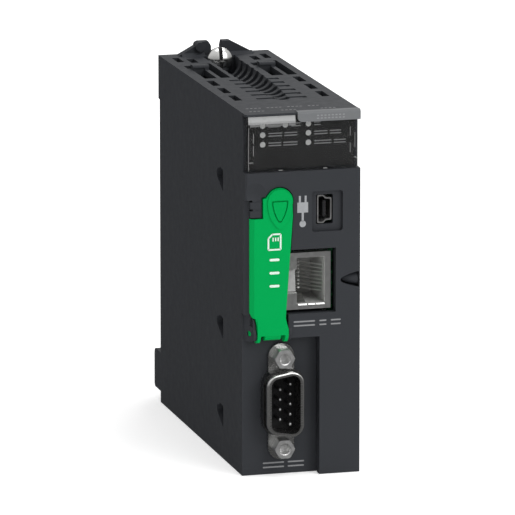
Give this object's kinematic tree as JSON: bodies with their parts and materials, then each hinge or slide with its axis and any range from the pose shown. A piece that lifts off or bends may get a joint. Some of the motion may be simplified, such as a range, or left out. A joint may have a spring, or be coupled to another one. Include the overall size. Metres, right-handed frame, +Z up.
{
  "type": "plc module",
  "caption": "Narrow upright control module with a clear status window, hinged card door, network and serial ports, a D-shaped pin connector and a captive fixing screw on top.",
  "frame": {"origin": "middle of the base of the whole part, at the level of the underside", "axes": "+X to the right seen from the front, +Y to the rear (rack side), +Z up"},
  "size_m": [0.032, 0.101, 0.1039],
  "materials": {
    "anthracite_plastic": "fine moulded grain",
    "clear_window": "clear with a slight smoke tint",
    "black_plastic": "satin",
    "grey_plate": "satin",
    "light_pipe": "clear to milky",
    "green_plastic": "satin moulded",
    "card_plastic": "satin",
    "bright_steel": "bright plated",
    "polished_steel": "polished",
    "gold_contacts": "thin gold plating",
    "connector_plastic": "satin",
    "circuit_board": "green solder resist",
    "led_body": "clear resin",
    "chip_plastic": "moulded epoxy",
    "can_aluminium": "drawn can",
    "sleeve_plastic": "shrink sleeve",
    "ferrite": "pressed powder"
  },
  "bodies": {
    "housing": {"casing": "anthracite_plastic", "rear_cover": "anthracite_plastic", "front_bezel": "anthracite_plastic", "cover_screws": "bright_steel", "display_window": "clear_window", "display_panel": "black_plastic", "light_pipes": "light_pipe", "display_board": "circuit_board", "status_leds": "led_body", "id_plate": "grey_plate", "card_socket": "black_plastic", "card_socket_shell": "bright_steel", "usb_shell": "bright_steel", "usb_insert": "black_plastic", "usb_contacts": "gold_contacts", "network_shield": "bright_steel", "network_insert": "connector_plastic", "network_contacts": "bright_steel", "dsub_shell": "bright_steel", "dsub_collar": "bright_steel", "dsub_insulator": "black_plastic", "dsub_pins": "bright_steel", "dsub_jackscrews": "bright_steel", "bus_connector": "connector_plastic", "bus_pins": "gold_contacts", "bus_screws": "bright_steel", "main_board": "circuit_board", "connector_board": "circuit_board", "board_link": "black_plastic", "board_spacers": "bright_steel", "spacer_screws": "bright_steel", "processor_chip": "chip_plastic", "memory_chips": "chip_plastic", "capacitors": "can_aluminium", "backup_capacitor": "sleeve_plastic", "inductors": "ferrite", "crystal": "bright_steel", "ground_spring": "bright_steel"},
    "door": {"card_door": "green_plastic"},
    "card": {"memory_card": "card_plastic"},
    "screw_carrier": {"screw_washer": "bright_steel"},
    "screw": {"fixing_screw": "polished_steel"}
  },
  "joints": [
    {"name": "door_hinge", "type": "hinge", "parent": "housing", "child": "door", "pos_m": [0, -0.0463, 0.0398], "axis": [1, 0, 0], "range_deg": [0, 100]},
    {"name": "card_slide", "type": "slide", "parent": "housing", "child": "card", "axis": [0, -1, 0], "range_m": [-0.001, 0.0036]},
    {"name": "screw_float", "type": "slide", "parent": "housing", "child": "screw_carrier", "axis": [0, -0.9972, 0.075], "range_m": [0, 0.0049]},
    {"name": "screw_turn", "type": "hinge", "parent": "screw_carrier", "child": "screw", "pos_m": [0, 0.036, 0.0991], "axis": [0, -0.9972, 0.075], "continuous": true}
  ]
}
